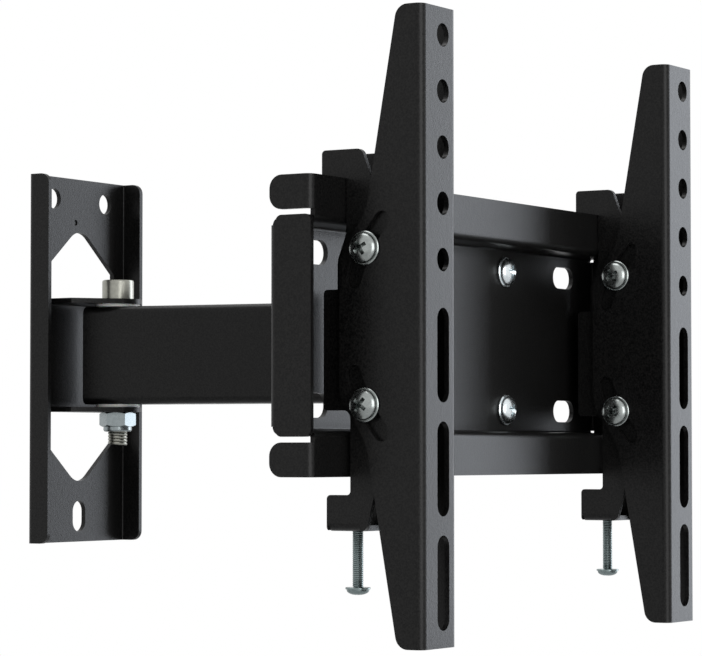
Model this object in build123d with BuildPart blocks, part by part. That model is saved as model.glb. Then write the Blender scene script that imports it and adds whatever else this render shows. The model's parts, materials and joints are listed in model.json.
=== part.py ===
"""Cantilever wall mount for a television, with one arm and two tilting plates.

The origin is the centre of the wall plate's back face. The television side faces -Y, the wall
is at +Y, and +Z is up. The arm stands a little to the right, and the crossplate is parallel to
the wall. All sizes are in millimetres and degrees.
"""

import math
import os

from build123d import *

os.makedirs("parts", exist_ok=True)

# Wall plate
wall_width = 65
wall_height = 150
wall_depth = 10.5
wall_sheet = 2
wall_bend = 0.5
wall_corner = 4
wall_hole_diameter = 8.4
wall_hole_spacing = 35
wall_hole_height = 66
wall_slot_width = 8.6
wall_slot_length = 12.8
wall_slot_drop = 64.5
dimple_diameter = 2.4
dimple_offset = -3
dimple_height = 57
dimple_depth = 0.5

# Hinge lugs, alike on the wall plate and on the swivel head
lug_width = 46
lug_relief = 0.6
lug_shoulder = 15
lug_tip_radius = 9.8
pivot_reach = 21.5

# Pivot bolts, nuts and washers
pivot_diameter = 8
pivot_hole_gap = 0.2
pivot_head_diameter = 13
pivot_head_height = 8
pivot_head_chamfer = 0.7
pivot_socket_flats = 6
pivot_socket_depth = 4
pivot_nut_flats = 13
pivot_nut_height = 8
pivot_nut_collar = 2
pivot_thread_end = 5
pivot_tip_chamfer = 0.8
pivot_washer_diameter = 18
pivot_washer_thickness = 1.15

# Arm
arm_length = 122.3
arm_yaw = 10.3
arm_height = 1.5
tube_height = 40
tube_width = 20
tube_wall = 2
tube_corner = 3
tube_overhang = 11
sleeve_wall = 2

# Swivel head behind the crossplate
head_sheet = 2
head_bend = 1
head_wing_margin = 10
head_wing_corner = 6
head_neck_gap = 3

# Crossplate
cross_length = 251
cross_height = 108
cross_depth = 18
cross_centre_height = 7
cross_sheet = 2
cross_bend = 1
rail_height = 17
end_flange_corner = 2.5
end_slit = 2
end_step_gap = 0.3
tab_height = 12.4
tab_reach = 17.5
tab_corner = 5
cross_slot_length = 18
cross_slot_width = 9
cross_slot_spacing = 195
cross_slot_margin = 9
screw_spacing = 93
screw_margin = 9

# Pan head screws and lock nuts, M6
screw_diameter = 6
screw_hole_gap = 0.3
screw_head_diameter = 12.4
screw_head_height = 4
screw_head_rim = 1.4
screw_nut_flats = 10
screw_nut_height = 6
screw_nut_collar = 1.5
screw_thread_end = 2

# Television plates
plate_width = 25
plate_height = 230
plate_sheet = 2
plate_bend = 1
plate_end_depth = 10.4
plate_end_corner = 5
plate_waist_depth = 23.2
plate_waist_height = 84
plate_ear_margin = 2.8
plate_ear_height = 50
plate_ear_corner = 10
plate_waist_round = 16
plate_stand_off = 33.3
plate_hole_line = 2.5
plate_hole_diameter = 8.5
plate_hole_pitch = 20.25
plate_hole_count = 5
plate_hole_margin = 10
plate_slot_length = 34
plate_slot_pitch = 40.75
plate_slot_count = 3
plate_slot_margin = 23.2
plate_spacing = 200
plate_shift = 8.2

# Tilt joint
tilt_axis_reach = 27
tilt_radius = 58
tilt_bolt_angle = 29
tilt_range = 12
tilt_slot_play = 0.25
tilt_washer_diameter = 12
tilt_washer_thickness = 1.2

# Hook brackets
hook_sheet = 2
hook_bend = 1
hook_side_play = 0.3
rail_play = 0.3
hook_setback = 13
hook_web_height = 72
hook_top = 10.4
hook_prong_reach = 10.1
hook_prong_drop = 5.5
hook_prong_gap = 1
hook_top_front = 6.8
hook_shoulder_front = 10.6
hook_belly = 9.3
hook_belly_top = 13.7
hook_belly_bottom = 30
hook_ledge = 3.4
hook_ledge_top = 24
hook_ledge_start = 34
hook_lower_gap = 2
notch_height = 6.5
foot_reach = 8
foot_height = 13
foot_front = 8.6
foot_shoulder_front = 12.7
foot_shoulder_height = 2.5
hook_edge_round = 3
hook_tight_round = 1.5
hook_wide_round = 8
foot_tab_front = 6
foot_tab_back = 7.4
foot_tab_gap = 0.3

# Lock screws, M4
lock_diameter = 4
lock_length = 40
lock_head_diameter = 9.2
lock_head_height = 2.8
lock_nut_flats = 7
lock_nut_height = 3.2
lock_running_gap = 0.05
lock_hole_gap = 0.3
lock_head_rim = 1

# Derived places
lug_inner = tube_height / 2 + pivot_washer_thickness
head_x = arm_length * math.sin(math.radians(arm_yaw))
head_pivot_y = -pivot_reach - arm_length * math.cos(math.radians(arm_yaw))
web_back_y = head_pivot_y - pivot_reach
rail_front_y = web_back_y - cross_depth
tv_front_y = rail_front_y - plate_stand_off
plates_middle = head_x + plate_shift
plate_centres = {"left": plates_middle - plate_spacing / 2, "right": plates_middle + plate_spacing / 2}
hook_width = plate_width - 2 * plate_sheet - 2 * hook_side_play
hook_front = plate_stand_off - hook_setback
recess_height = cross_height - 2 * rail_height
screw_rise = recess_height - 2 * screw_margin
cross_slot_rise = recess_height - 2 * cross_slot_margin


def bend_allowance(sheet, bend):
    """Length of sheet that a right-angled fold takes up, on its neutral line."""
    neutral_share = 0.4
    return math.pi / 2 * (bend + neutral_share * sheet)


def tapered_outline(root, shoulder, centre, half_width, tip_radius):
    """Face of a straight-sided root that tapers to a round tip, along the sketch's y."""
    with BuildLine() as rim:
        Line((-half_width, root), (half_width, root))
        Line((-half_width, shoulder), (half_width, shoulder))
        CenterArc((0, centre), tip_radius, 0, 360)
    make_hull(rim.edges())


def lug_pair(base, sheet, bend):
    """Two lugs folded forward from one strip of web.

    The base plane lies on the web's back face, its z towards the lugs' tips and its y up.
    """
    up = base.y_dir
    side = Plane(base.origin, x_dir=base.z_dir, z_dir=base.z_dir.cross(up))
    plan = Plane(base.origin, x_dir=base.x_dir, z_dir=base.x_dir.cross(base.z_dir))
    outer = lug_inner + sheet
    tip = pivot_reach + lug_tip_radius
    with BuildPart() as lugs:
        with BuildSketch(side):
            with BuildLine():
                FilletPolyline((tip, outer), (0, outer), (0, -outer), (tip, -outer), radius=bend + sheet)
                offset(amount=sheet, side=Side.LEFT)
            make_face()
        extrude(amount=lug_width / 2, both=True)
        with BuildSketch(plan):
            tapered_outline(0, lug_shoulder, pivot_reach, lug_width / 2, lug_tip_radius)
        extrude(amount=outer, both=True, mode=Mode.INTERSECT)
        with BuildSketch(plan):
            with Locations((0, pivot_reach)):
                Circle(pivot_diameter / 2 + pivot_hole_gap)
        extrude(amount=outer, both=True, mode=Mode.SUBTRACT)
    return lugs.part


def save(part, name):
    """Label a finished piece and write it."""
    part.label = name
    export_step(part, f"parts/{name}.step")


# Wall plate: side flanges forward, lugs lanced out of the web, the windows as long as the lugs unfolded
wall_base = Plane(origin=(0, 0, arm_height), x_dir=(1, 0, 0), z_dir=(0, -1, 0))
wall_lugs = lug_pair(wall_base, wall_sheet, wall_bend)
wall_fold = lug_inner - wall_bend
wall_unfold = wall_fold + bend_allowance(wall_sheet, wall_bend) - wall_bend - wall_sheet

with BuildPart() as wall_plate:
    with BuildSketch(Plane.XY):
        with BuildLine():
            FilletPolyline(
                (-wall_width / 2, -wall_depth),
                (-wall_width / 2, 0),
                (wall_width / 2, 0),
                (wall_width / 2, -wall_depth),
                radius=wall_bend + wall_sheet,
            )
            offset(amount=wall_sheet, side=Side.RIGHT)
        make_face()
    extrude(amount=wall_height / 2, both=True)
    fillet(wall_plate.edges().filter_by(Axis.X).group_by(Axis.Y)[0], radius=wall_corner)
    with BuildSketch(Plane.XZ):
        with Locations((0, wall_hole_height)):
            with GridLocations(wall_hole_spacing, 0, 2, 1):
                Circle(wall_hole_diameter / 2)
        with Locations((0, -wall_slot_drop)):
            SlotOverall(wall_slot_length, wall_slot_width, rotation=90)
    extrude(amount=wall_sheet, mode=Mode.SUBTRACT)
    for facing in (1, -1):
        window = Plane(wall_base.origin, x_dir=(facing, 0, 0), z_dir=(0, -1, 0))
        with BuildSketch(window):
            tapered_outline(
                wall_fold,
                wall_unfold + lug_shoulder,
                wall_unfold + pivot_reach,
                lug_width / 2 + lug_relief,
                lug_tip_radius,
            )
        extrude(amount=wall_sheet, mode=Mode.SUBTRACT)
    add(wall_lugs)
    with BuildSketch(Plane.XZ.offset(wall_sheet)):
        with Locations((dimple_offset, dimple_height)):
            Circle(dimple_diameter / 2)
    extrude(amount=-dimple_depth, mode=Mode.SUBTRACT)

save(wall_plate.part, "wall_plate")


# Arm: rectangular tube with a liner pressed in at each pivot
arm_plane = Plane(
    origin=(0, -pivot_reach, arm_height),
    x_dir=(0, 0, 1),
    z_dir=(head_x, head_pivot_y + pivot_reach, 0),
)
sleeve_radius = pivot_diameter / 2 + sleeve_wall
pivots = {"wall": (0, -pivot_reach), "head": (head_x, head_pivot_y)}

with BuildPart() as arm_tube:
    with BuildSketch(arm_plane.offset(-tube_overhang)):
        RectangleRounded(tube_height, tube_width, tube_corner)
        RectangleRounded(
            tube_height - 2 * tube_wall,
            tube_width - 2 * tube_wall,
            tube_corner - tube_wall,
            mode=Mode.SUBTRACT,
        )
    extrude(amount=arm_length + 2 * tube_overhang)
    with BuildSketch(Plane.XY.offset(arm_height)):
        with Locations(*pivots.values()):
            Circle(sleeve_radius)
    extrude(amount=tube_height / 2, both=True, mode=Mode.SUBTRACT)

save(arm_tube.part, "arm_tube")


def pivot_sleeve(place):
    """Plain liner, as long as the tube is high, in which the pivot bolt turns."""
    with BuildPart() as sleeve:
        with BuildSketch(Plane.XY.offset(arm_height)):
            with Locations(place):
                Circle(sleeve_radius)
                Circle(pivot_diameter / 2 + lock_running_gap, mode=Mode.SUBTRACT)
        extrude(amount=tube_height / 2, both=True)
    return sleeve.part


def pivot_washer(place, bottom):
    """Flat nylon ring between a lug and the tube."""
    with BuildPart() as washer:
        with BuildSketch(Plane.XY.offset(bottom)):
            with Locations(place):
                Circle(pivot_washer_diameter / 2)
                Circle(pivot_diameter / 2 + pivot_hole_gap, mode=Mode.SUBTRACT)
        extrude(amount=pivot_washer_thickness)
    return washer.part


def pivot_bolt(place, head_seat, shank_end):
    """Socket head bolt that points down, its head on the upper lug."""
    with BuildPart() as bolt:
        with BuildSketch(Plane.XY.offset(shank_end)):
            with Locations(place):
                Circle(pivot_diameter / 2)
        extrude(amount=head_seat - shank_end)
        chamfer(bolt.edges().sort_by(Axis.Z)[0], length=pivot_tip_chamfer)
        with BuildSketch(Plane.XY.offset(head_seat)):
            with Locations(place):
                Circle(pivot_head_diameter / 2)
        extrude(amount=pivot_head_height)
        chamfer(bolt.edges().sort_by(Axis.Z)[-1], length=pivot_head_chamfer)
        with BuildSketch(Plane.XY.offset(head_seat + pivot_head_height)):
            with Locations(place):
                RegularPolygon(pivot_socket_flats / 2, 6, major_radius=False)
        extrude(amount=-pivot_socket_depth, mode=Mode.SUBTRACT)
    return bolt.part


def hex_lock_nut(seat, flats, height, collar, bore_radius):
    """Hexagon nut with a round collar at its far end, standing on a plane."""
    with BuildPart() as nut:
        with BuildSketch(seat):
            RegularPolygon(flats / 2, 6, major_radius=False)
            Circle(bore_radius, mode=Mode.SUBTRACT)
        extrude(amount=height - collar)
        if collar:
            with BuildSketch(seat.offset(height - collar)):
                Circle(flats / 2)
                Circle(bore_radius, mode=Mode.SUBTRACT)
            extrude(amount=collar)
    return nut.part


lug_faces = {"wall": lug_inner + wall_sheet, "head": lug_inner + head_sheet}
for hinge, place in pivots.items():
    lug_face = lug_faces[hinge]
    nut_seat = arm_height - lug_face
    save(pivot_sleeve(place), f"{hinge}_sleeve")
    save(pivot_washer(place, arm_height + tube_height / 2), f"{hinge}_washer_top")
    save(pivot_washer(place, arm_height - lug_inner), f"{hinge}_washer_bottom")
    shank_end = nut_seat - pivot_nut_height - pivot_thread_end
    save(pivot_bolt(place, arm_height + lug_face, shank_end), f"{hinge}_pivot_bolt")
    nut_plane = Plane(origin=(place[0], place[1], nut_seat), x_dir=(1, 0, 0), z_dir=(0, 0, -1))
    nut = hex_lock_nut(nut_plane, pivot_nut_flats, pivot_nut_height, pivot_nut_collar, pivot_diameter / 2)
    save(nut, f"{hinge}_pivot_nut")


# Swivel head: two wings screwed behind the crossplate, lugs folded back from the neck between them
head_base = Plane(origin=(head_x, web_back_y, arm_height), x_dir=(-1, 0, 0), z_dir=(0, 1, 0))
head_lugs = lug_pair(head_base, head_sheet, head_bend)
wing_inner = lug_width / 2 + head_neck_gap
wing_width = screw_spacing / 2 + head_wing_margin - wing_inner
wing_height = screw_rise + 2 * head_wing_margin
screw_places = [(sx * screw_spacing / 2, sz * screw_rise / 2) for sx in (-1, 1) for sz in (-1, 1)]
cross_front = Plane(origin=(head_x, web_back_y, cross_centre_height), x_dir=(1, 0, 0), z_dir=(0, -1, 0))
cross_rear = Plane(origin=(head_x, web_back_y, cross_centre_height), x_dir=(-1, 0, 0), z_dir=(0, 1, 0))

with BuildPart() as head_clevis:
    with BuildSketch(cross_rear):
        with Locations((-wing_inner - wing_width / 2, 0), (wing_inner + wing_width / 2, 0)):
            RectangleRounded(wing_width, wing_height, head_wing_corner)
        with Locations((0, arm_height - cross_centre_height)):
            Rectangle(2 * wing_inner + wing_width, 2 * (lug_inner - head_bend))
        with Locations(*screw_places):
            Circle(screw_diameter / 2 + screw_hole_gap, mode=Mode.SUBTRACT)
    extrude(amount=head_sheet)
    add(head_lugs)

save(head_clevis.part, "head_clevis")


# Crossplate: hat section, end flanges folded forward from the web, tabs folded back from the rails
cross_side = Plane(origin=(head_x, web_back_y, cross_centre_height), x_dir=(0, 1, 0), z_dir=(1, 0, 0))
cross_fold = cross_bend + cross_sheet
fold_start = cross_length / 2 - cross_fold
end_flange_height = cross_height - 2 * (tab_height + end_slit)
flat_web = recess_height - 2 * cross_bend


def rail_tab(side, rail):
    """Tab folded back from one end of one rail, with its free corners rounded."""
    centre_height = cross_centre_height + rail * (cross_height - tab_height) / 2
    start_x = side * (fold_start - cross_fold)
    end_x = side * cross_length / 2
    with BuildPart() as tab:
        with BuildSketch(Plane(origin=(head_x, rail_front_y, centre_height))):
            with BuildLine():
                FilletPolyline((start_x, 0), (end_x, 0), (end_x, tab_reach), radius=cross_fold)
                offset(amount=cross_sheet, side=Side.LEFT if side > 0 else Side.RIGHT)
            make_face()
        extrude(amount=tab_height / 2, both=True)
        fillet(tab.edges().filter_by(Axis.X).group_by(Axis.Y)[-1], radius=tab_corner)
    return tab.part


with BuildPart() as crossplate:
    with BuildSketch(cross_side):
        with BuildLine():
            FilletPolyline(
                (-cross_depth, cross_height / 2),
                (-cross_depth, recess_height / 2),
                (-cross_sheet, recess_height / 2),
                (-cross_sheet, -recess_height / 2),
                (-cross_depth, -recess_height / 2),
                (-cross_depth, -cross_height / 2),
                radius=[cross_fold, cross_bend, cross_bend, cross_fold],
            )
            offset(amount=cross_sheet, side=Side.LEFT)
        make_face()
    extrude(amount=fold_start, both=True)
    with BuildSketch(cross_side):
        for rail in (-1, 1):
            with Locations((-cross_depth / 2, rail * (recess_height + cross_sheet) / 2)):
                Rectangle(cross_depth - 2 * cross_fold, cross_sheet)
    extrude(amount=cross_length / 2 - cross_sheet - end_step_gap, both=True)
    for side in (-1, 1):
        end_x = side * cross_length / 2
        start_x = side * (fold_start - cross_fold)
        inward = Side.RIGHT if side > 0 else Side.LEFT
        with BuildSketch(Plane(origin=(head_x, web_back_y, cross_centre_height))):
            with BuildLine():
                FilletPolyline((start_x, 0), (end_x, 0), (end_x, -cross_depth), radius=cross_fold)
                offset(amount=cross_sheet, side=inward)
            make_face()
        extrude(amount=flat_web / 2, both=True)
        with BuildSketch(cross_side.offset(end_x)):
            with Locations((-(cross_depth + cross_fold) / 2, 0)):
                RectangleRounded(cross_depth - cross_fold, end_flange_height, end_flange_corner)
        extrude(amount=-side * cross_sheet)
        for rail in (-1, 1):
            add(rail_tab(side, rail))
    with BuildSketch(cross_front):
        with GridLocations(cross_slot_spacing, cross_slot_rise, 2, 2):
            SlotOverall(cross_slot_length, cross_slot_width)
        with Locations(*screw_places):
            Circle(screw_diameter / 2 + screw_hole_gap)
    extrude(amount=cross_sheet, mode=Mode.SUBTRACT)

save(crossplate.part, "crossplate")


def pan_screw(seat, length):
    """Domed pan head on a plane, its shank behind the plane."""
    with BuildPart() as screw:
        with BuildSketch(seat):
            Circle(screw_head_diameter / 2)
        extrude(amount=screw_head_height)
        crown = screw.edges().sort_by(lambda edge: seat.to_local_coords(edge.center()).Z)[-1]
        fillet(crown, radius=screw_head_height - screw_head_rim)
        with BuildSketch(seat):
            Circle(screw_diameter / 2)
        extrude(amount=-length)
    return screw.part


def plane_at(base, x, y, rise):
    """Plane parallel to a base plane, at local x and y, raised along its normal."""
    return Plane(origin=base.from_local_coords((x, y, rise)), x_dir=base.x_dir, z_dir=base.z_dir)


crossplate_length = cross_sheet + head_sheet + screw_nut_height + screw_thread_end
crossplate_screws = [
    pan_screw(plane_at(cross_front, x, z, cross_sheet), crossplate_length) for x, z in screw_places
]
crossplate_nuts = [
    hex_lock_nut(
        plane_at(cross_rear, x, z, head_sheet),
        screw_nut_flats,
        screw_nut_height,
        screw_nut_collar,
        screw_diameter / 2,
    )
    for x, z in screw_places
]
save(Compound(children=crossplate_screws), "crossplate_screws")
save(Compound(children=crossplate_nuts), "crossplate_nuts")


# Television plates: folded channels, deepest at the tilt joint, with two arc slots in each side
plate_top = plate_height / 2
lowest_slot = -plate_top + plate_slot_margin
bolt_angles = (tilt_bolt_angle, -tilt_bolt_angle)
tilt_bolt_y = tilt_radius * math.cos(math.radians(tilt_bolt_angle)) - tilt_axis_reach
tilt_bolt_z = tilt_radius * math.sin(math.radians(tilt_bolt_angle))
slot_inner_angle = math.radians(tilt_bolt_angle - tilt_range)
slot_end = tilt_radius * math.cos(slot_inner_angle) - tilt_axis_reach
plate_ear_depth = slot_end + screw_diameter / 2 + tilt_slot_play + plate_ear_margin


def tv_plate(centre_x):
    """Channel of the right handing for either side, with its hole line off its middle."""
    side = Plane(origin=(centre_x, tv_front_y, cross_centre_height), x_dir=(0, 1, 0), z_dir=(1, 0, 0))
    front = Plane(origin=(centre_x, tv_front_y, cross_centre_height), x_dir=(1, 0, 0), z_dir=(0, -1, 0))
    with BuildPart() as plate:
        with BuildSketch(Plane(origin=side.origin)):
            with BuildLine():
                FilletPolyline(
                    (-plate_width / 2, plate_ear_depth),
                    (-plate_width / 2, 0),
                    (plate_width / 2, 0),
                    (plate_width / 2, plate_ear_depth),
                    radius=plate_bend + plate_sheet,
                )
                offset(amount=plate_sheet, side=Side.LEFT)
            make_face()
        extrude(amount=plate_height / 2, both=True)
        with BuildSketch(side):
            with BuildLine():
                FilletPolyline(
                    (0, plate_top),
                    (plate_end_depth, plate_top),
                    (plate_waist_depth, plate_waist_height / 2),
                    (plate_ear_depth, plate_ear_height / 2),
                    (plate_ear_depth, -plate_ear_height / 2),
                    (plate_waist_depth, -plate_waist_height / 2),
                    (plate_end_depth, -plate_top),
                    (0, -plate_top),
                    radius=[
                        0,
                        plate_end_corner,
                        plate_waist_round,
                        plate_ear_corner,
                        plate_ear_corner,
                        plate_waist_round,
                        plate_end_corner,
                        0,
                    ],
                    close=True,
                )
            make_face()
        extrude(amount=plate_width / 2, both=True, mode=Mode.INTERSECT)
        for angle in bolt_angles:
            with BuildSketch(side):
                with BuildLine(mode=Mode.PRIVATE):
                    path = CenterArc((-tilt_axis_reach, 0), tilt_radius, angle - tilt_range, 2 * tilt_range)
                SlotArc(path, screw_diameter + 2 * tilt_slot_play)
            extrude(amount=plate_width / 2, both=True, mode=Mode.SUBTRACT)
        with BuildSketch(front):
            for row in range(plate_hole_count):
                with Locations((plate_hole_line, plate_top - plate_hole_margin - row * plate_hole_pitch)):
                    Circle(plate_hole_diameter / 2)
            for row in range(plate_slot_count):
                with Locations((plate_hole_line, lowest_slot + row * plate_slot_pitch)):
                    SlotOverall(plate_slot_length, plate_hole_diameter, rotation=90)
        extrude(amount=-plate_sheet, mode=Mode.SUBTRACT)
    return plate.part


# Hook brackets: two equal side walls joined by a front web, hung on the upper rail
rail_top = cross_height / 2
hook_peak = rail_top + hook_top
hook_web_end = hook_web_height / 2
prong_end = rail_top - hook_prong_drop
prong_front = cross_sheet + hook_prong_gap
rail_middle = cross_sheet / 2
foot_top = -rail_top - notch_height
foot_bottom = foot_top - foot_height
bolt_back = tilt_bolt_y - plate_stand_off


def hook_bracket(centre_x):
    """Folded bracket inside the television plate, with its prong behind the rail."""
    side = Plane(origin=(centre_x, rail_front_y, cross_centre_height), x_dir=(0, 1, 0), z_dir=(1, 0, 0))
    plan = Plane(origin=side.origin)
    front = Plane(origin=side.origin, x_dir=(1, 0, 0), z_dir=(0, -1, 0))
    fold = hook_bend + hook_sheet
    half_width = hook_width / 2
    with BuildPart() as bracket:
        with BuildSketch(plan.offset(foot_bottom)):
            with BuildLine():
                FilletPolyline(
                    (-half_width, hook_prong_reach),
                    (-half_width, -hook_front),
                    (half_width, -hook_front),
                    (half_width, hook_prong_reach),
                    radius=fold,
                )
                offset(amount=hook_sheet, side=Side.LEFT)
            make_face()
        extrude(amount=hook_peak - foot_bottom)
        with BuildSketch(side):
            with BuildLine():
                FilletPolyline(
                    (-hook_front, hook_web_end),
                    (-hook_shoulder_front, rail_top),
                    (-hook_top_front, hook_peak),
                    (hook_prong_reach, hook_peak),
                    (hook_prong_reach, prong_end),
                    (prong_front, prong_end),
                    (prong_front, rail_top),
                    (-rail_play, rail_top),
                    (-rail_play, hook_ledge_start),
                    (hook_ledge, hook_ledge_top),
                    (hook_ledge, hook_belly_top),
                    (hook_belly, hook_belly_top),
                    (hook_belly, -hook_belly_bottom),
                    (-hook_lower_gap, -hook_belly_bottom),
                    (-hook_lower_gap, foot_top),
                    (foot_reach, foot_top),
                    (foot_reach, foot_bottom),
                    (-foot_front, foot_bottom),
                    (-foot_shoulder_front, foot_top + foot_shoulder_height),
                    (-hook_front, -hook_web_end),
                    radius=[
                        0,
                        hook_wide_round,
                        hook_edge_round,
                        hook_tight_round,
                        hook_tight_round,
                        hook_tight_round,
                        0,
                        0,
                        hook_wide_round,
                        hook_wide_round,
                        0,
                        hook_tight_round,
                        hook_tight_round,
                        hook_edge_round,
                        hook_tight_round,
                        hook_tight_round,
                        hook_tight_round,
                        hook_edge_round,
                        hook_wide_round,
                        0,
                    ],
                    close=True,
                )
            make_face()
        extrude(amount=half_width, both=True, mode=Mode.INTERSECT)
        with BuildSketch(front.offset(-foot_tab_back)):
            with Locations((-half_width, foot_bottom)):
                Rectangle(fold, fold, align=(Align.MIN, Align.MIN))
        extrude(amount=foot_tab_back + foot_tab_front, mode=Mode.SUBTRACT)
        with BuildSketch(front.offset(-foot_tab_back)):
            with BuildLine():
                FilletPolyline(
                    (-half_width, foot_bottom + fold + hook_sheet),
                    (-half_width, foot_bottom),
                    (half_width - hook_sheet - foot_tab_gap, foot_bottom),
                    radius=fold,
                )
                offset(amount=hook_sheet, side=Side.LEFT)
            make_face()
        extrude(amount=foot_tab_back + foot_tab_front)
        with BuildSketch(plan.offset(foot_bottom)):
            with Locations((0, rail_middle)):
                Circle(lock_diameter / 2 + lock_hole_gap)
        extrude(amount=hook_sheet, mode=Mode.SUBTRACT)
        with BuildSketch(side):
            with Locations((bolt_back, tilt_bolt_z), (bolt_back, -tilt_bolt_z)):
                Circle(screw_diameter / 2 + screw_hole_gap)
        extrude(amount=half_width, both=True, mode=Mode.SUBTRACT)
    return bracket.part


def lock_screw(centre_x):
    """Long thin screw from below, its tip against the lower edge of the rail."""
    tip_height = cross_centre_height - rail_top
    tip = Plane(origin=(centre_x, rail_front_y + rail_middle, tip_height), z_dir=(0, 0, -1))
    with BuildPart() as screw:
        with BuildSketch(tip):
            Circle(lock_diameter / 2)
        extrude(amount=lock_length)
        with BuildSketch(tip.offset(lock_length)):
            Circle(lock_head_diameter / 2)
        extrude(amount=lock_head_height)
        fillet(screw.edges().sort_by(Axis.Z)[0], radius=lock_head_height - lock_head_rim)
    return screw.part


for side_name, centre_x in plate_centres.items():
    near_face = Plane(
        origin=(centre_x - plate_width / 2, tv_front_y + tilt_bolt_y, cross_centre_height),
        x_dir=(0, 1, 0),
        z_dir=(-1, 0, 0),
    )
    far_face = Plane(
        origin=(centre_x + plate_width / 2, tv_front_y + tilt_bolt_y, cross_centre_height),
        x_dir=(0, 1, 0),
        z_dir=(1, 0, 0),
    )
    bolt_length = plate_width + tilt_washer_thickness + screw_nut_height + screw_thread_end
    bolts = [pan_screw(plane_at(near_face, 0, z, 0), bolt_length) for z in (-tilt_bolt_z, tilt_bolt_z)]
    nuts = [
        hex_lock_nut(
            plane_at(far_face, 0, z, tilt_washer_thickness),
            screw_nut_flats,
            screw_nut_height,
            screw_nut_collar,
            screw_diameter / 2,
        )
        for z in (-tilt_bolt_z, tilt_bolt_z)
    ]
    with BuildPart() as tilt_washers:
        with BuildSketch(far_face):
            with Locations((0, tilt_bolt_z), (0, -tilt_bolt_z)):
                Circle(tilt_washer_diameter / 2)
                Circle(screw_diameter / 2 + screw_hole_gap, mode=Mode.SUBTRACT)
        extrude(amount=tilt_washer_thickness)
    nut_seat = Plane(
        origin=(centre_x, rail_front_y + rail_middle, cross_centre_height + foot_bottom + hook_sheet)
    )
    nut = hex_lock_nut(nut_seat, lock_nut_flats, lock_nut_height, 0, lock_diameter / 2 + lock_running_gap)
    save(tv_plate(centre_x), f"tv_plate_{side_name}")
    save(hook_bracket(centre_x), f"hook_bracket_{side_name}")
    save(Compound(children=bolts), f"tilt_bolts_{side_name}")
    save(tilt_washers.part, f"tilt_washers_{side_name}")
    save(Compound(children=nuts), f"tilt_nuts_{side_name}")
    save(lock_screw(centre_x), f"lock_screw_{side_name}")
    save(nut, f"lock_nut_{side_name}")
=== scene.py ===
"""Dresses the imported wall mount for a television: powder coat, zinc, nylon, studio and camera."""

import json
import math

import bmesh
import bpy
from mathutils import Matrix, Vector

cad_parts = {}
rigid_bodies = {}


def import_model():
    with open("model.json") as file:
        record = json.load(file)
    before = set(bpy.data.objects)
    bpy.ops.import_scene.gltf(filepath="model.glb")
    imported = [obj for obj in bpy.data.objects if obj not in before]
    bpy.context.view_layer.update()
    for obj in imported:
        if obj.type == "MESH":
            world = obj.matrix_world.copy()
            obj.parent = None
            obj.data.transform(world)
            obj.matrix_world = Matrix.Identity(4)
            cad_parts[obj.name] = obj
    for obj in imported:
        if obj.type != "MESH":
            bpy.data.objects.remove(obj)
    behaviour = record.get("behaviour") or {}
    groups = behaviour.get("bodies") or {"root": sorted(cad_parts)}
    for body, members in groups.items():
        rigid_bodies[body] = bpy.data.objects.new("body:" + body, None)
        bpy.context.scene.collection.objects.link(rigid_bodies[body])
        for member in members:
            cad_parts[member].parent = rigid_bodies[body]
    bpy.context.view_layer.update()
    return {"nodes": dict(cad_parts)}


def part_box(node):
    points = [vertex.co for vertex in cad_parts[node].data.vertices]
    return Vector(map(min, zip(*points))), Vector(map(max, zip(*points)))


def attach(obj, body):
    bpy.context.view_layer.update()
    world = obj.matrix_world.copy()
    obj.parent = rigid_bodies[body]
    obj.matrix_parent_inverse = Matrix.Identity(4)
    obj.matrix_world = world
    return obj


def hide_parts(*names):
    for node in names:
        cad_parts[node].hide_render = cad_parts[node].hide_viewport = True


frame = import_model()
nodes = frame["nodes"]


# Wall plate: a folded 2 mm steel sheet with its hinge lugs pressed out of it, screwed flat to the wall.
# It is powder coated satin black, with a fine grain, a little orange peel and an uneven sheen.


def wired(tree, kind, settings=None, **sockets):
    """Outputs of a new node, its sockets given by name, or by identifier where names repeat."""
    made = tree.nodes.new(kind)
    for setting, value in (settings or {}).items():
        setattr(made, setting, value)
    for title, value in sockets.items():
        target = next(
            one for one in made.inputs if title in (one.identifier, one.name.replace(" ", "_"))
        )
        for one in value if isinstance(value, list) else [value]:
            one = getattr(one, "link", one)
            if isinstance(one, bpy.types.NodeSocket):
                tree.links.new(one, target)
            else:
                target.default_value = one
    return made.outputs


class Value:
    """A number in a node tree, written with the usual operators."""

    def __init__(self, tree, link):
        self.tree = tree
        self.link = link

    def worked(self, operation, first, second):
        made = wired(self.tree, "ShaderNodeMath", {"operation": operation}, Value=first, Value_001=second)
        return Value(self.tree, made[0])

    def __add__(self, other):
        return self.worked("ADD", self, other)

    def __radd__(self, other):
        return self.worked("ADD", other, self)

    def __sub__(self, other):
        return self.worked("SUBTRACT", self, other)

    def __rsub__(self, other):
        return self.worked("SUBTRACT", other, self)

    def __mul__(self, other):
        return self.worked("MULTIPLY", self, other)

    def __rmul__(self, other):
        return self.worked("MULTIPLY", other, self)

    def __truediv__(self, other):
        return self.worked("DIVIDE", self, other)

    def __rtruediv__(self, other):
        return self.worked("DIVIDE", other, self)

    def larger(self, other):
        return self.worked("MAXIMUM", self, other)

    def held(self):
        """The value kept between 0 and 1."""
        return self.worked("MINIMUM", self.larger(0.0), 1.0)


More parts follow.
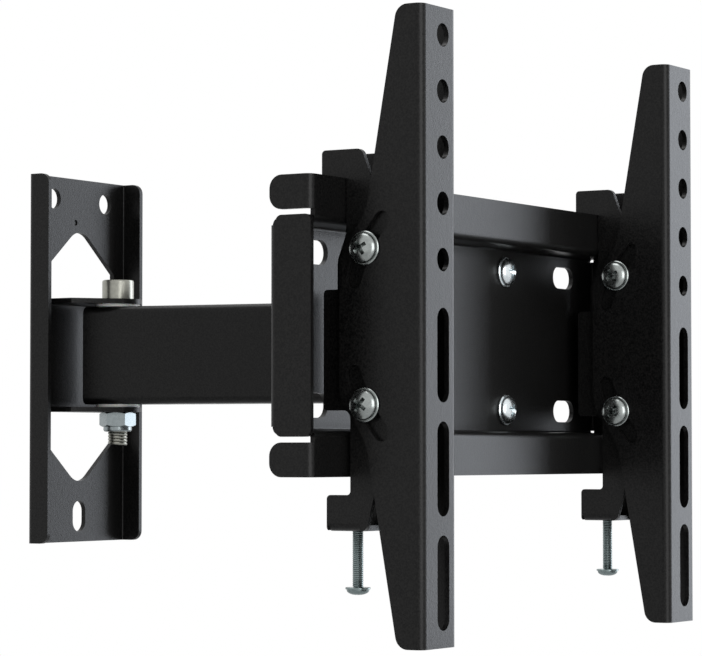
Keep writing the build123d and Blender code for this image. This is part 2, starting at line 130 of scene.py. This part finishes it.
class Finish:
    """A material and its shader, whose constants are given by socket name."""

    def __init__(self, name, **constants):
        self.material = bpy.data.materials.new(name)
        self.material.use_nodes = True
        self.tree = self.material.node_tree
        self.shader = self.tree.nodes["Principled BSDF"]
        for socket, value in constants.items():
            self.shader.inputs[socket.replace("_", " ")].default_value = value

    def noise(self, scale, detail=3.0):
        """Noise on Object coordinates, in grains per metre."""
        place = wired(self.tree, "ShaderNodeTexCoord")["Object"]
        made = wired(self.tree, "ShaderNodeTexNoise", Vector=place, Scale=scale, Detail=detail)
        return Value(self.tree, made[0])

    def mixed(self, share, first, second):
        """Colour between two others."""
        return wired(
            self.tree,
            "ShaderNodeMix",
            {"data_type": "RGBA"},
            Factor_Float=share,
            A_Color=(*first, 1),
            B_Color=(*second, 1),
        )[2]

    def set(self, socket, value):
        self.tree.links.new(getattr(value, "link", value), self.shader.inputs[socket])

    def bump(self, height, distance):
        self.set("Normal", wired(self.tree, "ShaderNodeBump", Height=height, Distance=distance)["Normal"])


coat = Finish("black_powder_coat", Specular_IOR_Level=0.19)
coat_deepest = (0.0008, 0.0008, 0.001)
coat_palest = (0.0102, 0.01, 0.0097)
grain = coat.noise(1500.0, detail=2.0)
peel = coat.noise(420.0, detail=2.0)
drift = coat.noise(14.0, detail=2.0)
coat.set("Base Color", coat.mixed((grain * 3.2 + drift * 0.4 - 1.3).held(), coat_deepest, coat_palest))
coat.set("Roughness", (0.25 + drift * 0.08 + grain * 0.06).held())
coat.bump(grain * 0.6 + peel * 0.4, distance=0.00009)
black = coat.material


def dress(name, material):
    """Give a CAD node one material all over."""
    for slot in nodes[name].material_slots:
        slot.material = material


dress("wall_plate", black)


# Washers: thin natural nylon rings between the lugs and the arm, so that neither rubs on the other.
# They are stamped, a little translucent, and take the arm's weight.

nylon = Finish("white_nylon", Roughness=0.45, Subsurface_Weight=0.15, Subsurface_Scale=0.002)
nylon.set("Base Color", nylon.mixed(nylon.noise(260.0), (0.74, 0.73, 0.7), (0.84, 0.835, 0.81)))
nylon.bump(nylon.noise(900.0), distance=0.00003)
for hinge in ("wall", "head"):
    dress(f"{hinge}_washer_top", nylon.material)
    dress(f"{hinge}_washer_bottom", nylon.material)


# Arm: a length of 40 by 20 mm welded tube, coated like the plates, with a bright steel liner pressed in
# across it at each end for the pivot bolt.


def zinc(name, dark, light, roughness):
    """Plated steel, a little cloudy, with a fine grain."""
    plate = Finish(name, Metallic=1.0)
    bloom = plate.noise(700.0)
    plate.set("Base Color", plate.mixed(bloom, dark, light))
    plate.set("Roughness", (roughness + bloom * 0.12).held())
    plate.bump(plate.noise(3000.0), distance=0.000004)
    return plate.material


bright_zinc = zinc("bright_zinc", (0.23, 0.25, 0.245), (0.39, 0.415, 0.405), 0.2)
dress("arm_tube", black)
dress("wall_sleeve", bright_zinc)
dress("head_sleeve", bright_zinc)


# Pivot bolts: M8 socket cap screws dropped through both lugs and the arm, cold formed and zinc plated,
# with rolled threads that come out below the nut.


def from_bmesh(name, bm):
    """Object in the scene from a finished bmesh, which is used up."""
    mesh = bpy.data.meshes.new(name)
    bm.to_mesh(mesh)
    bm.free()
    made = bpy.data.objects.new(name, mesh)
    bpy.context.scene.collection.objects.link(made)
    return made


def ring(bm, radius, height, sides, offset=0.0):
    """Vertices round Z, the first one turned by a share of one side."""
    angles = [2 * math.pi * (k + offset) / sides for k in range(sides)]
    return [bm.verts.new((radius * math.cos(angle), radius * math.sin(angle), height)) for angle in angles]


def turned(name, profile, sides=56):
    """Object with a closed profile of (radius, height) turned about Z, poles closed."""
    bm = bmesh.new()
    rings = [
        ring(bm, radius, height, sides) if radius else [bm.verts.new((0, 0, height))] * sides
        for radius, height in profile
    ]
    for first, second in zip(rings, rings[1:] + rings[:1]):
        for k in range(sides):
            following = (k + 1) % sides
            corners = list(dict.fromkeys([first[k], first[following], second[following], second[k]]))
            if len(corners) > 2:
                bm.faces.new(corners)
    bmesh.ops.recalc_face_normals(bm, faces=bm.faces[:])
    return from_bmesh(name, bm)


def prism(name, sides, across, bottom, top):
    """Regular prism, by its size across flats, with a flat towards +X."""
    bm = bmesh.new()
    radius = across / 2 / math.cos(math.pi / sides)
    lower, upper = (ring(bm, radius, height, sides, offset=0.5) for height in (bottom, top))
    bm.faces.new(lower[::-1])
    bm.faces.new(upper)
    for k in range(sides):
        following = (k + 1) % sides
        bm.faces.new((lower[k], lower[following], upper[following], upper[k]))
    return from_bmesh(name, bm)


def frozen(made):
    """Plain mesh of an object as its modifiers leave it."""
    graph = bpy.context.evaluated_depsgraph_get()
    return bpy.data.meshes.new_from_object(made.evaluated_get(graph))


def cut(body, tool, operation="DIFFERENCE"):
    """Carry out one boolean and throw the tool away."""
    step = body.modifiers.new("cut", "BOOLEAN")
    step.operation = operation
    step.solver = "EXACT"
    step.object = tool
    mesh = frozen(body)
    body.modifiers.clear()
    body.data = mesh
    bpy.data.objects.remove(tool)
    return body


def joined(name, *pieces):
    """One object from several objects or meshes. The objects are used up."""
    bm = bmesh.new()
    for piece in pieces:
        if isinstance(piece, bpy.types.Mesh):
            bm.from_mesh(piece)
        else:
            bm.from_mesh(piece.data)
            bpy.data.objects.remove(piece)
    return from_bmesh(name, bm)


def points_object(name, points):
    """Object that is only points."""
    mesh = bpy.data.meshes.new(name)
    mesh.from_pydata([tuple(point) for point in points], [], [])
    made = bpy.data.objects.new(name, mesh)
    bpy.context.scene.collection.objects.link(made)
    return made


class Shapes:
    """A Geometry Nodes tree with named inputs."""

    def __init__(self, name, **inputs):
        self.tree = bpy.data.node_groups.new(name, "GeometryNodeTree")
        face = self.tree.interface
        face.new_socket("Geometry", in_out="INPUT", socket_type="NodeSocketGeometry")
        face.new_socket("Geometry", in_out="OUTPUT", socket_type="NodeSocketGeometry")
        self.ids = {
            title: face.new_socket(title, in_out="INPUT", socket_type=f"NodeSocket{kind}").identifier
            for title, kind in inputs.items()
        }
        self.given = self.tree.nodes.new("NodeGroupInput").outputs
        self.result = self.tree.nodes.new("NodeGroupOutput").inputs["Geometry"]

    def number(self, title):
        return Value(self.tree, self.given[title])

    def node(self, kind, settings=None, **sockets):
        return wired(self.tree, kind, settings, **sockets)

    def finish(self, geometry):
        """Realize, give the material and end the tree."""
        real = self.node("GeometryNodeRealizeInstances", Geometry=geometry)["Geometry"]
        done = self.node("GeometryNodeSetMaterial", Geometry=real, Material=self.given["Finish"])
        self.tree.links.new(done["Geometry"], self.result)

    def mesh(self, start, **values):
        """The tree's result on an object, as a plain mesh. The object is used up."""
        step = start.modifiers.new("shapes", "NODES")
        step.node_group = self.tree
        for title, value in values.items():
            step[self.ids[title]] = value
        mesh = frozen(start)
        bpy.data.objects.remove(start)
        return mesh


def thread_tree():
    """A threaded rod that hangs from the origin: a core with a rolled ridge wound on it."""
    rod = Shapes("thread", Crest="Float", Pitch="Float", Length="Float", Finish="Material")
    length = rod.number("Length")
    ridge_depth = rod.number("Pitch") * 0.52
    root = rod.number("Crest") - ridge_depth
    line = rod.node(
        "GeometryNodeCurveSpiral",
        Resolution=28,
        Rotations=length / rod.number("Pitch"),
        Start_Radius=root,
        End_Radius=root,
        Height=length,
    )["Curve"]
    upright = rod.node("GeometryNodeSetCurveNormal", {"mode": "Z_UP"}, Curve=line)["Curve"]
    ridge = rod.node("GeometryNodeCurvePrimitiveCircle", Resolution=8, Radius=ridge_depth)["Curve"]
    wound = rod.node("GeometryNodeCurveToMesh", Curve=upright, Profile_Curve=ridge, Fill_Caps=True)["Mesh"]
    core = rod.node("GeometryNodeMeshCylinder", Vertices=28, Radius=root, Depth=length)["Mesh"]
    lift = rod.node("ShaderNodeCombineXYZ", Z=length * 0.5)[0]
    raised = rod.node("GeometryNodeTransform", Geometry=core, Translation=lift)["Geometry"]
    standing = rod.node("GeometryNodeJoinGeometry", Geometry=[wound, raised])[0]
    hanging = rod.node("GeometryNodeTransform", Geometry=standing, Rotation=(math.pi, 0, 0))["Geometry"]
    rod.finish(hanging)
    return rod


def row_tree():
    """One fastener on each point of a mesh, turned the same way and spun at random about its axis."""
    row = Shapes("fastener_row", Fastener="Object", Turn="Vector", Spin="Float", Finish="Material")
    given = row.given
    shape = row.node("GeometryNodeObjectInfo", Object=given["Fastener"])["Geometry"]
    points = row.node("GeometryNodeMeshToPoints", Mesh=given["Geometry"])["Points"]
    placed = row.node(
        "GeometryNodeInstanceOnPoints", Points=points, Instance=shape, Rotation=given["Turn"]
    )["Instances"]
    chance = row.node("FunctionNodeRandomValue", {"data_type": "FLOAT"}, Max_001=given["Spin"], Seed=11)[1]
    spin = row.node("ShaderNodeCombineXYZ", Z=chance)[0]
    row.finish(row.node("GeometryNodeRotateInstances", Instances=placed, Rotation=spin)["Instances"])
    return row


threads = thread_tree()
rows = row_tree()
lap = 0.0002  # how far one part of a template reaches into the next


def threaded(head, crest, pitch, length, plain=0.0):
    """A fastener's template: its head on z = 0, its shank below, plain at first and then threaded."""
    rod = threads.mesh(points_object("rod", [(0, 0, 0)]), Crest=crest, Pitch=pitch, Length=length - plain)
    rod.transform(Matrix.Translation((0, 0, -plain)))
    if not plain:
        return joined("fastener", head, rod)
    neck = turned("neck", [(0, -plain), (crest, -plain), (crest, lap), (0, lap)])
    return joined("fastener", head, rod, neck)


def crisp(mesh):
    """Smooth shading that breaks at real edges."""
    crease = math.radians(32)
    bm = bmesh.new()
    bm.from_mesh(mesh)
    for face in bm.faces:
        face.smooth = True
    for edge in bm.edges:
        edge.smooth = edge.calc_face_angle(math.pi) < crease
    bm.to_mesh(mesh)
    bm.free()
    return mesh


def fasten(name, template, points, outward, body, node, finish, spin=0.0):
    """Put a template, which is used up, at each point in place of a CAD node, its head outward."""
    turn = Vector((0, 0, 1)).rotation_difference(Vector(outward)).to_euler()
    start = points_object(name, points)
    mesh = rows.mesh(start, Fastener=template, Turn=tuple(turn), Spin=spin, Finish=finish)
    bpy.data.objects.remove(template)
    mesh.name = name
    made = bpy.data.objects.new(name, crisp(mesh))
    bpy.context.scene.collection.objects.link(made)
    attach(made, body)
    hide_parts(node)


cap_height = 0.008
cap_radius = 0.0065
cap_soft = 0.0007  # rounding of the cap's edges
cap_bevel = 0.3 * cap_soft  # how near the middle of that rounding comes to the sharp corner
socket_flats = 0.006
socket_depth = 0.004
shank_radius = 0.004
shank_pitch = 0.00125
shank_plain = 0.042  # unthreaded length under the cap
dull_zinc = zinc("dull_zinc", (0.225, 0.227, 0.2), (0.38, 0.378, 0.335), 0.26)
for hinge in ("wall", "head"):
    node = f"{hinge}_pivot_bolt"
    low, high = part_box(node)
    seat = high.z - cap_height
    cap = turned(
        "cap",
        [
            (0, cap_height),
            (cap_radius - cap_soft, cap_height),
            (cap_radius - cap_bevel, cap_height - cap_bevel),
            (cap_radius, cap_height - cap_soft),
            (cap_radius, cap_bevel),
            (cap_radius - cap_bevel, 0),
            (0, 0),
        ],
    )
    cut(cap, prism("socket", 6, socket_flats, cap_height - socket_depth, cap_height + 0.001))
    fasten(
        f"{hinge}_socket_bolt",
        threaded(cap, shank_radius, shank_pitch, seat - low.z, shank_plain),
        [((low.x + high.x) / 2, (low.y + high.y) / 2, seat)],
        outward=(0, 0, 1),
        body=hinge,
        node=node,
        finish=dull_zinc,
    )


# Lock nuts of the pivots: chamfered hexagons with a nylon ring crimped into a round collar, so that the
# hinge keeps its stiffness. They are zinc plated with a blue tint.

pivot_nut_flats = 0.013
pivot_nut_collar = 0.002


def hex_nut(flats, height, collar, bore):
    """A nut's template: its seat on z = 0, its collar, where it has one, on top."""
    hexagon = height - collar
    face = flats * 0.48  # radius of the flat face inside the chamfer
    corner = flats / math.sqrt(3)
    reach = corner * 1.001
    chamfer = (corner - face) * math.tan(math.radians(30))
    barrel_profile = [(bore, 0), (face, 0), (reach, chamfer)]
    barrel_profile += [(reach, hexagon - chamfer), (face, hexagon), (bore, hexagon)]
    barrel = turned("barrel", barrel_profile, sides=72)
    body = cut(prism("nut", 6, flats, 0, hexagon), barrel, "INTERSECT")
    if not collar:
        return joined("nut", body)
    rim = flats * 0.45
    mouth = bore * 1.12
    crimp = [(1, 0.35), (0.93, 0.06), (0.84, 0), (0.76, 0.12)]  # shares of the rim and of the collar
    ring_profile = [(mouth, hexagon - lap), (rim, hexagon - lap)]
    ring_profile += [(rim * outward, height - collar * down) for outward, down in crimp]
    ring_profile += [(mouth, height - collar * 0.2)]
    return joined("nut", body, turned("collar", ring_profile))


blue_zinc = zinc("blue_zinc", (0.18, 0.207, 0.212), (0.32, 0.357, 0.366), 0.22)
for hinge in ("wall", "head"):
    node = f"{hinge}_pivot_nut"
    low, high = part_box(node)
    fasten(
        f"{hinge}_lock_nut",
        hex_nut(pivot_nut_flats, high.z - low.z, pivot_nut_collar, shank_radius),
        [((low.x + high.x) / 2, (low.y + high.y) / 2, high.z)],
        outward=(0, 0, -1),
        body=hinge,
        node=node,
        finish=blue_zinc,
    )


# Swivel head: a folded sheet with two wings and two lugs, screwed behind the crossplate and coated
# like the rest.

dress("head_clevis", black)


# Crossplate: one folded sheet of hat section, with flanges and tabs turned at its ends, that carries
# both hook brackets.

dress("crossplate", black)


# Crossplate screws and nuts: M6 pan heads with a raised rim and a cross recess, driven from the front
# into lock nuts behind the swivel head. The heads are the palest zinc on the mount, much paler than the
# same screws at the tilt bolts: a painted highlight for the lamp that they face.

pan_radius = 0.0062
pan_height = 0.004
pan_recess = 0.0062
pan_shank = 0.003
pan_pitch = 0.001
small_nut_flats = 0.01
small_nut_height = 0.006
small_nut_collar = 0.0015
any_turn = 1.5  # radians at most by which the screws of a row are turned
any_nut_turn = 1.0


def pan_head(radius, height, recess):
    """Domed head that stands on a thin rim, with a cross recess of a given width."""
    rim = height * 0.26
    dome = radius * 0.9
    steps = 10
    profile = [(0, height)]
    for k in range(1, steps):
        slope = math.pi / 2 * k / steps
        profile.append((dome * math.sin(slope), rim + (height - rim) * math.cos(slope) ** 0.8))
    profile += [
        (dome, rim),
        (radius - rim * 0.25, rim),
        (radius, rim * 0.75),
        (radius, rim * 0.2),
        (radius - rim * 0.2, 0),
        (0, 0),
    ]
    head = turned("head", profile)
    wing_width = recess * 0.24
    wing_depth = height * 0.68
    for turn in (0, math.pi / 2):
        wing = prism("wing", 4, 1.0, -1.0, 0.0)
        wing.data.transform(Matrix.Diagonal((recess, wing_width, wing_depth, 1)))
        for corner in wing.data.vertices:
            if corner.co.z < -height * 0.1:
                corner.co.x *= 0.4
                corner.co.y *= 0.6
        wing.data.transform(Matrix.Rotation(turn, 4, "Z") @ Matrix.Translation((0, 0, height * 1.01)))
        cut(head, wing)
    return head


def pan_screw(length):
    return threaded(pan_head(pan_radius, pan_height, pan_recess), pan_shank, pan_pitch, length)


def small_nut():
    return hex_nut(small_nut_flats, small_nut_height, small_nut_collar, pan_shank)


# Painted highlight: the same pan heads as at the tilt bolts, in a much paler zinc because they face the
# lamp.
clear_zinc = zinc("clear_zinc", (0.62, 0.68, 0.7), (0.85, 0.9, 0.92), 0.2)
low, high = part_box("crossplate_screws")
seat = low.y + pan_height
screw_columns = (low.x + pan_radius, high.x - pan_radius)
screw_rows = (low.z + pan_radius, high.z - pan_radius)
fasten(
    "cross_pan_screws",
    pan_screw(high.y - seat),
    [(x, seat, z) for x in screw_columns for z in screw_rows],
    outward=(0, -1, 0),
    body="head",
    node="crossplate_screws",
    finish=clear_zinc,
    spin=any_turn,
)
low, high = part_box("crossplate_nuts")
fasten(
    "cross_lock_nuts",
    small_nut(),
    [(x, low.y, z) for x in screw_columns for z in screw_rows],
    outward=(0, 1, 0),
    body="head",
    node="crossplate_nuts",
    finish=blue_zinc,
    spin=any_nut_turn,
)


# Hook brackets and their locks: folded brackets hooked over the upper rail, each with an M4 screw that
# comes up through a nut in its foot and clamps the lower rail.

lock_head_height = 0.0028
lock_head_radius = 0.0046
lock_recess = 0.0042
lock_shank = 0.002
lock_pitch = 0.0007
lock_nut_flats = 0.007
lock_zinc = zinc("lock_zinc", (0.15, 0.19, 0.19), (0.27, 0.32, 0.32), 0.24)
for side in ("left", "right"):
    dress(f"hook_bracket_{side}", black)
    node = f"lock_nut_{side}"
    low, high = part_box(node)
    fasten(
        f"foot_nut_{side}",
        hex_nut(lock_nut_flats, high.z - low.z, 0, lock_shank),
        [((low.x + high.x) / 2, (low.y + high.y) / 2, low.z)],
        outward=(0, 0, 1),
        body=f"{side}_hook",
        node=node,
        finish=bright_zinc,
    )
    node = f"lock_screw_{side}"
    low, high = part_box(node)
    seat = low.z + lock_head_height
    head = pan_head(lock_head_radius, lock_head_height, lock_recess)
    fasten(
        f"clamp_screw_{side}",
        threaded(head, lock_shank, lock_pitch, high.z - seat),
        [((low.x + high.x) / 2, (low.y + high.y) / 2, seat)],
        outward=(0, 0, -1),
        body=f"{side}_lock",
        node=node,
        finish=lock_zinc,
    )


# Television plates and their tilt bolts: folded channels with a row of holes and slots, each hung on two
# M6 pan heads that run in its arc slots, with a washer and a lock nut at the far side.

for side in ("left", "right"):
    dress(f"tv_plate_{side}", black)
    dress(f"tilt_washers_{side}", bright_zinc)
    node = f"tilt_bolts_{side}"
    low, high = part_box(node)
    seat = low.x + pan_height
    y = (low.y + high.y) / 2
    heights = (low.z + pan_radius, high.z - pan_radius)
    fasten(
        f"tilt_pan_bolts_{side}",
        pan_screw(high.x - seat),
        [(seat, y, z) for z in heights],
        outward=(-1, 0, 0),
        body=f"{side}_hook",
        node=node,
        finish=bright_zinc,
        spin=any_turn,
    )
    node = f"tilt_nuts_{side}"
    low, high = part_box(node)
    fasten(
        f"tilt_lock_nuts_{side}",
        small_nut(),
        [(low.x, y, z) for z in heights],
        outward=(1, 0, 0),
        body=f"{side}_hook",
        node=node,
        finish=blue_zinc,
        spin=any_nut_turn,
    )


# Studio: a pale matt floor well below the mount, large soft lamps, and a surround of a modest strength
# that looks white to the camera and in the metal.

floor_radius = 1.4
floor_middle = (0.03, -0.1, -0.3)
bm = bmesh.new()
bmesh.ops.create_circle(bm, cap_ends=True, segments=96, radius=floor_radius)
bmesh.ops.translate(bm, verts=bm.verts[:], vec=floor_middle)
floor = from_bmesh("floor", bm)
pale = Finish("pale_floor", Roughness=0.7)
pale.set("Base Color", pale.mixed(pale.noise(3.0), (0.83, 0.83, 0.83), (0.86, 0.86, 0.86)))
floor.data.materials.append(pale.material)

surround_strength = 0.4
world = bpy.data.worlds.new("surround")
bpy.context.scene.world = world
world.use_nodes = True
sky = world.node_tree
lighting = sky.nodes["Background"]
lighting.inputs["Color"].default_value = (1, 1, 1, 1)
lighting.inputs["Strength"].default_value = surround_strength
white = wired(sky, "ShaderNodeBackground", Color=(1, 1, 1, 1), Strength=1.0)[0]
rays = wired(sky, "ShaderNodeLightPath")
shown = Value(sky, rays["Is Camera Ray"]).larger(rays["Is Transmission Ray"]).larger(rays["Is Glossy Ray"])
surround = wired(sky, "ShaderNodeMixShader", Fac=shown, Shader=lighting.outputs[0], Shader_001=white)[0]
sky.links.new(surround, sky.nodes["World Output"].inputs["Surface"])


def softbox(name, place, width, height, power, tint=(1, 1, 1)):
    """Large soft lamp that faces the mount."""
    data = bpy.data.lights.new(name, "AREA")
    data.shape = "RECTANGLE"
    data.size = width
    data.size_y = height
    data.energy = power
    data.color = tint
    lamp = bpy.data.objects.new(name, data)
    lamp.location = place
    mount_middle = Vector((0.02, -0.12, 0))
    lamp.rotation_euler = (mount_middle - Vector(place)).to_track_quat("-Z", "Y").to_euler()
    bpy.context.scene.collection.objects.link(lamp)


softbox("right_softbox", (1.85, -0.98, 0.25), 1.0, 1.55, 18.5, tint=(0.86, 0.915, 1.0))
softbox("front_left_softbox", (-0.85, -1.75, 0.1), 1.2, 1.7, 18)
softbox("top_softbox", (0.1, 0.2, 1.6), 1.2, 1.2, 10)


# Camera: a long lens a metre and a quarter away, a little below the mount's middle and looking slightly
# up, with the wall plate on the left and the television's side towards it.

camera_heading = Vector((0.851, 0.525, 0)).normalized()
camera_pitch = math.radians(2.367)
camera_data = bpy.data.cameras.new("camera")
camera_data.sensor_width = 36
camera_data.lens = 153.85
camera = bpy.data.objects.new("camera", camera_data)
camera.location = (-0.9993, -0.7507, -0.038)
forward = camera_heading * math.cos(camera_pitch) + Vector((0, 0, math.sin(camera_pitch)))
camera.rotation_euler = forward.to_track_quat("-Z", "Y").to_euler()
bpy.context.scene.collection.objects.link(camera)
bpy.context.scene.camera = camera
bpy.context.scene.view_settings.view_transform = "Standard"
